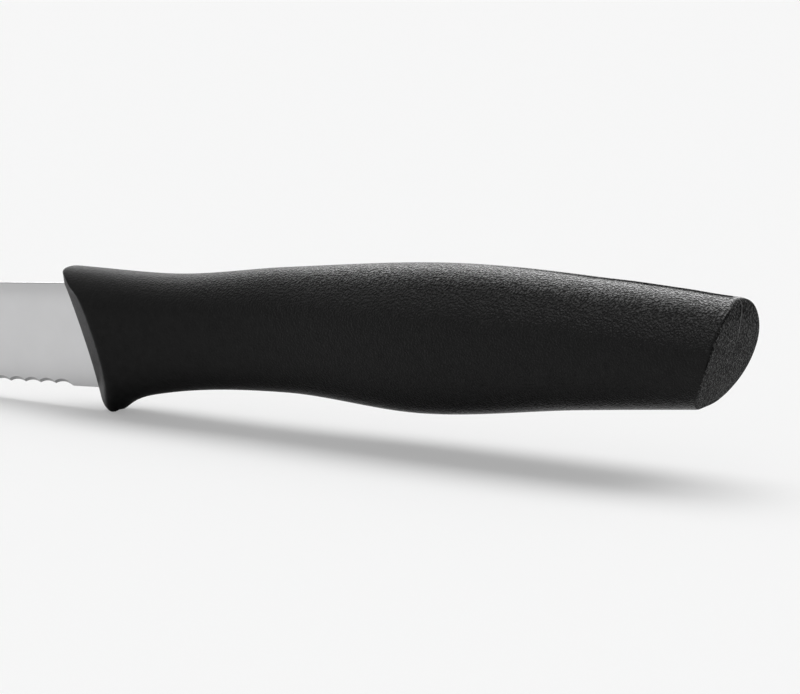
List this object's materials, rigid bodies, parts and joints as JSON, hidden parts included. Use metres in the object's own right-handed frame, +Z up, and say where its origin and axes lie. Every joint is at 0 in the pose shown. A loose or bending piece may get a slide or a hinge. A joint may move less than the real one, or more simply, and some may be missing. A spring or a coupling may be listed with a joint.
{
  "type": "serrated paring knife",
  "caption": "Paring knife with a short serrated spear-point steel blade and a black moulded plastic handle with finger guard, finger groove, full belly and slanted butt.",
  "frame": {"origin": "on the floor, under the middle of the box around the whole knife", "axes": "+X along the knife from the tip towards the butt, +Y across the blade, +Z up from the edge to the spine; the knife stands on the tip of its guard and on its edge"},
  "size_m": [0.176, 0.015, 0.0262],
  "materials": {
    "steel": "fine satin, ground across the blade",
    "plastic": "fine moulded grain, satin at the crown"
  },
  "bodies": {
    "root": {"blade": "steel", "handle": "plastic"}
  },
  "joints": []
}
